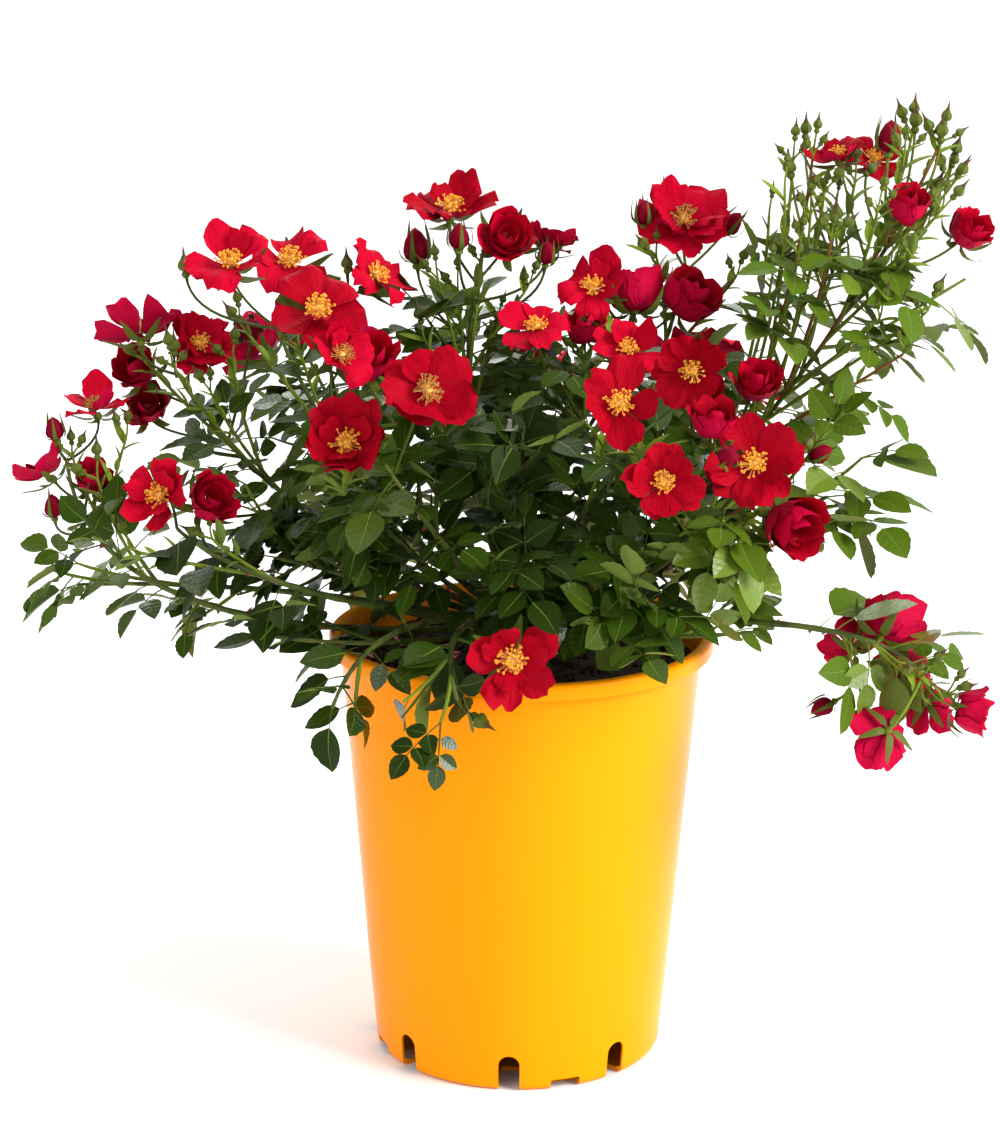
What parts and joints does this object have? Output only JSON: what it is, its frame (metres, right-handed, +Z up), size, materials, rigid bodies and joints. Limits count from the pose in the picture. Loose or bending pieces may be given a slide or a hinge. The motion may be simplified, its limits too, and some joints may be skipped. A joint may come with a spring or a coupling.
{
  "type": "potted rose bush",
  "caption": "Shrub rose with open red blooms, buds and glossy leaves on arching canes, growing in a tapered plastic nursery pot with drain slots.",
  "frame": {"origin": "middle of the pot's flat underside", "axes": "+Z up; -Y towards the front of the plant, +X to the right seen from the front, where the tallest spray of buds stands"},
  "size_m": [0.5011, 0.3573, 0.4956],
  "materials": {
    "pot": "smooth glossy orange-yellow",
    "compost": "rough dark moist compost",
    "bark": "green young bark, brown at the foot",
    "foliage": "satin green leaves",
    "flower_spray": "soft crimson petals over green leaves"
  },
  "bodies": {
    "root": {"pot": "pot", "compost": "compost", "crown": "bark", "cane_spray_left_far": "bark", "cane_leaves_left_tip": "bark", "cane_spray_left_low": "bark", "cane_spray_left_mid": "bark", "cane_spray_left_high": "bark", "cane_spray_left_inner": "bark", "cane_spray_centre_left": "bark", "cane_spray_top_centre": "bark", "cane_spray_right_high": "bark", "cane_spray_centre_right": "bark", "cane_spray_right_top": "bark", "cane_spray_right_front": "bark", "cane_spray_far_right": "bark", "cane_leaves_right": "bark", "cane_spray_right_low": "bark", "cane_spray_front_low": "bark", "cane_leaves_front_left": "bark", "cane_foliage_left": "bark", "cane_spray_back_left": "bark", "cane_spray_back_centre": "bark", "cane_spray_back_right": "bark", "cane_foliage_back_left": "bark", "cane_foliage_back_right": "bark", "spray_left_far": "flower_spray", "leaves_left_tip": "foliage", "spray_left_low": "flower_spray", "spray_left_mid": "flower_spray", "spray_left_high": "flower_spray", "spray_left_inner": "flower_spray", "spray_centre_left": "flower_spray", "spray_top_centre": "flower_spray", "spray_right_high": "flower_spray", "spray_centre_right": "flower_spray", "spray_right_top": "flower_spray", "spray_right_front": "flower_spray", "spray_far_right": "flower_spray", "leaves_right": "foliage", "spray_right_low": "flower_spray", "spray_front_low": "flower_spray", "leaves_front_left": "foliage", "foliage_left": "foliage", "foliage_left_low": "foliage", "foliage_centre": "foliage", "foliage_centre_left": "foliage", "foliage_front": "foliage", "foliage_right": "foliage", "foliage_right_low": "foliage", "foliage_right_mid": "foliage", "spray_back_left": "flower_spray", "spray_back_centre": "flower_spray", "spray_back_right": "flower_spray", "foliage_back_left": "foliage", "foliage_back_right": "foliage", "foliage_back_centre": "foliage"}
  },
  "joints": []
}
